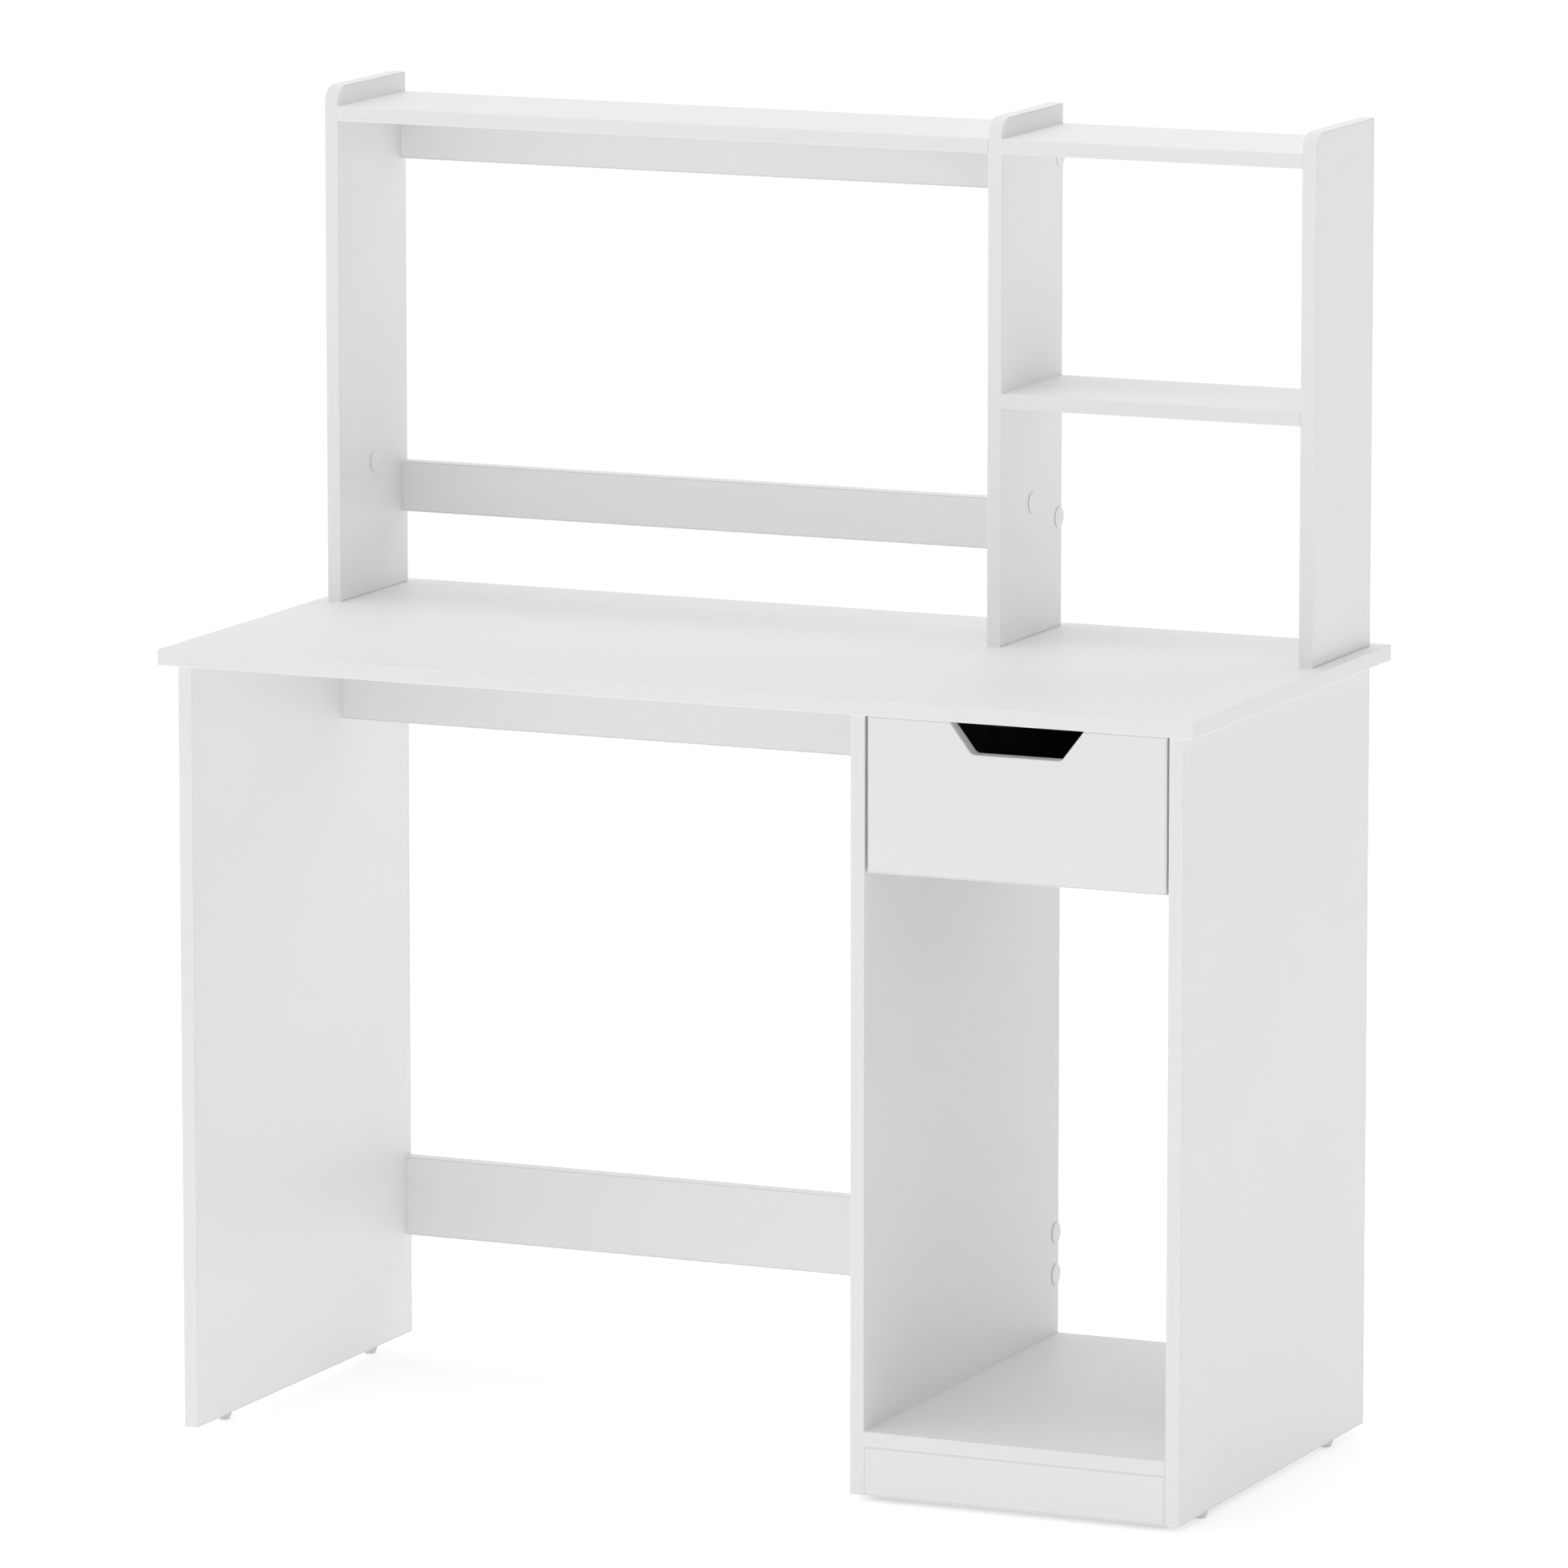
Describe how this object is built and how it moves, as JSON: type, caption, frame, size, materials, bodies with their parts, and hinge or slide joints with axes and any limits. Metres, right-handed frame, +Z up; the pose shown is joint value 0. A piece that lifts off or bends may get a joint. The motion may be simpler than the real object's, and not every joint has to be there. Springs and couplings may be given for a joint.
{
  "type": "student desk with hutch",
  "caption": "Flat-pack study desk: side panels carry a wide top with a roller-runner drawer over an open tower bay, and an open-backed hutch with shelves and rails stands along its rear edge.",
  "frame": {"origin": "on the floor below the middle of the desk top, at the undersides of the foot glides", "axes": "+X to the right as the user sits, +Y to the back, +Z up"},
  "size_m": [1.106, 0.527, 1.3235],
  "materials": {
    "white_laminate": "satin white laminate on 15 mm board",
    "drawer_laminate": "matt charcoal laminate on 12 mm board",
    "drawer_hardboard": "dark-faced hardboard",
    "runner_steel": "white powder-coated folded steel",
    "bright_steel": "bright zinc plating",
    "zinc_alloy": "die-cast zinc",
    "beech": "bare fluted beech",
    "white_plastic": "satin white moulding",
    "glide_plastic": "satin white moulding",
    "nylon": "smooth nylon"
  },
  "bodies": {
    "desk": {"desk_top": "white_laminate", "left_side_panel": "white_laminate", "centre_side_panel": "white_laminate", "right_side_panel": "white_laminate", "upper_stretcher": "white_laminate", "lower_stretcher": "white_laminate", "tower_shelf": "white_laminate", "kick_plate": "white_laminate", "hutch_left_panel": "white_laminate", "hutch_divider": "white_laminate", "hutch_right_panel": "white_laminate", "hutch_long_top_shelf": "white_laminate", "hutch_short_top_shelf": "white_laminate", "hutch_middle_shelf": "white_laminate", "hutch_upper_rail": "white_laminate", "hutch_lower_rail": "white_laminate", "cam_locks": "zinc_alloy", "cam_bolts": "bright_steel", "double_ended_bolts": "bright_steel", "dowels": "beech", "assembly_screws": "bright_steel", "screw_cover_caps": "white_plastic", "spare_hole_plugs": "white_plastic", "cabinet_runner_screws": "bright_steel", "cabinet_roller_axles": "bright_steel", "left_cabinet_runner": "runner_steel", "right_cabinet_runner": "runner_steel", "foot_glides": "glide_plastic"},
    "drawer": {"drawer_front": "white_laminate", "drawer_left_side": "drawer_laminate", "drawer_right_side": "drawer_laminate", "drawer_back": "drawer_laminate", "drawer_bottom": "drawer_hardboard", "left_drawer_runner": "runner_steel", "right_drawer_runner": "runner_steel", "drawer_cam_locks": "zinc_alloy", "drawer_cam_bolts": "bright_steel", "drawer_dowels": "beech", "drawer_back_screws": "bright_steel", "drawer_runner_screws": "bright_steel", "drawer_roller_axles": "bright_steel"},
    "left_cabinet_roller": {"left_cabinet_roller": "nylon"},
    "right_cabinet_roller": {"right_cabinet_roller": "nylon"},
    "left_drawer_roller": {"left_drawer_roller": "nylon"},
    "right_drawer_roller": {"right_drawer_roller": "nylon"}
  },
  "joints": [
    {"name": "drawer_slide", "type": "slide", "parent": "desk", "child": "drawer", "axis": [0, -1, 0], "range_m": [0, 0.29]},
    {"name": "left_cabinet_roller_spin", "type": "hinge", "parent": "desk", "child": "left_cabinet_roller", "pos_m": [0.2115, -0.2175, 0.6524], "axis": [1, 0, 0], "range_deg": [0, 1955]},
    {"name": "right_cabinet_roller_spin", "type": "hinge", "parent": "desk", "child": "right_cabinet_roller", "pos_m": [0.5165, -0.2175, 0.6524], "axis": [1, 0, 0], "range_deg": [0, 1955]},
    {"name": "left_drawer_roller_spin", "type": "hinge", "parent": "drawer", "child": "left_drawer_roller", "pos_m": [0.212, 0.1525, 0.6503], "axis": [1, 0, 0], "range_deg": [0, 1955]},
    {"name": "right_drawer_roller_spin", "type": "hinge", "parent": "drawer", "child": "right_drawer_roller", "pos_m": [0.516, 0.1525, 0.6503], "axis": [1, 0, 0], "range_deg": [0, 1955]}
  ],
  "couplings": [
    {"joint": "left_cabinet_roller_spin", "follows": "drawer_slide", "rad_per_m": 117.65},
    {"joint": "right_cabinet_roller_spin", "follows": "drawer_slide", "rad_per_m": 117.65},
    {"joint": "left_drawer_roller_spin", "follows": "drawer_slide", "rad_per_m": 117.65},
    {"joint": "right_drawer_roller_spin", "follows": "drawer_slide", "rad_per_m": 117.65}
  ]
}
